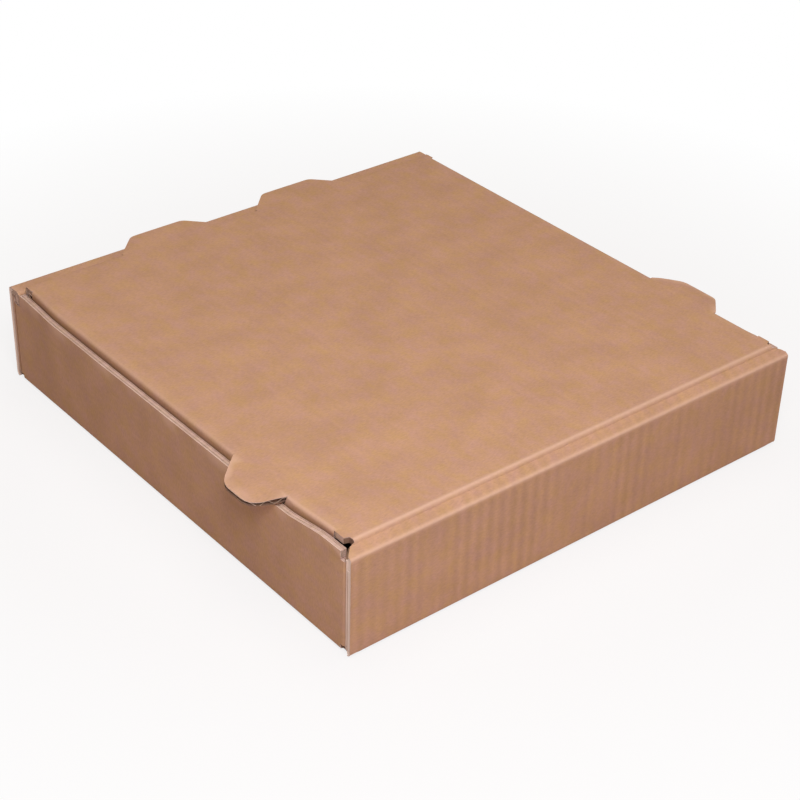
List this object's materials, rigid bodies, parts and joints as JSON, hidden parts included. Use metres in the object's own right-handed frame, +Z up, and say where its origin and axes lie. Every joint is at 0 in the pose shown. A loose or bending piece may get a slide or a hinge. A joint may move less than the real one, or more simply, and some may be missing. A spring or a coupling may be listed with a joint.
{
  "type": "corrugated pizza box",
  "caption": "Shallow square kraft corrugated take-away box with a double-crease hinged lid that tucks inside the tray and rests on its walls by tabs.",
  "frame": {"origin": "middle of the tray's underside", "axes": "+Z up, +Y towards the wall that carries the hinge, -Y towards the opening side, X along the hinge"},
  "size_m": [0.278, 0.2765, 0.0542],
  "materials": {
    "kraft_board": "matte"
  },
  "bodies": {
    "tray": {"tray": "kraft_board"},
    "hinge_strip": {"hinge_strip": "kraft_board"},
    "lid": {"lid": "kraft_board"}
  },
  "joints": [
    {"name": "lower_crease", "type": "hinge", "parent": "tray", "child": "hinge_strip", "pos_m": [0, 0.13535, 0.0491], "axis": [-1, 0, 0], "range_deg": [0, 95]},
    {"name": "upper_crease", "type": "hinge", "parent": "hinge_strip", "child": "lid", "pos_m": [0, 0.12995, 0.0527], "axis": [-1, 0, 0], "range_deg": [0, 90]}
  ]
}
